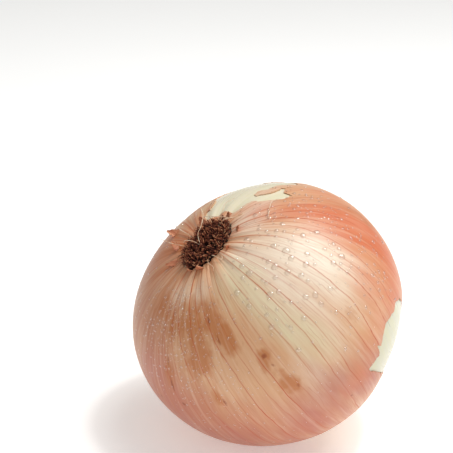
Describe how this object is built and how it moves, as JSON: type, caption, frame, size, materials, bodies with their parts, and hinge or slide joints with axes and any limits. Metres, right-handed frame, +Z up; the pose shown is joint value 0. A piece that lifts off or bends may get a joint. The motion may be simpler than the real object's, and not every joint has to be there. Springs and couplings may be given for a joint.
{
  "type": "onion",
  "caption": "Large dry-skinned bulb onion lying on its side with its root end up, its papery skin torn in places over the pale flesh.",
  "frame": {"origin": "middle of the bounding box, at the plane that the onion rests on", "axes": "+Z up from the surface it lies on; the root end points up and towards -X, the neck down and towards +X; +Y is across"},
  "size_m": [0.086, 0.09, 0.0822],
  "materials": {
    "flesh": "moist waxy scale of the bulb, greenish cream",
    "skin": "thin dry papery skin with a satin gloss, tan to salmon with rust-brown veins",
    "root": "dried corky root plate and roots, dark brown and dull",
    "dry_leaf": "dried leaf ends, straw brown and dull"
  },
  "bodies": {
    "root": {"bulb": "flesh", "outer_skin": "skin", "root_tuft": "root", "neck_leaves": "dry_leaf"}
  },
  "joints": []
}
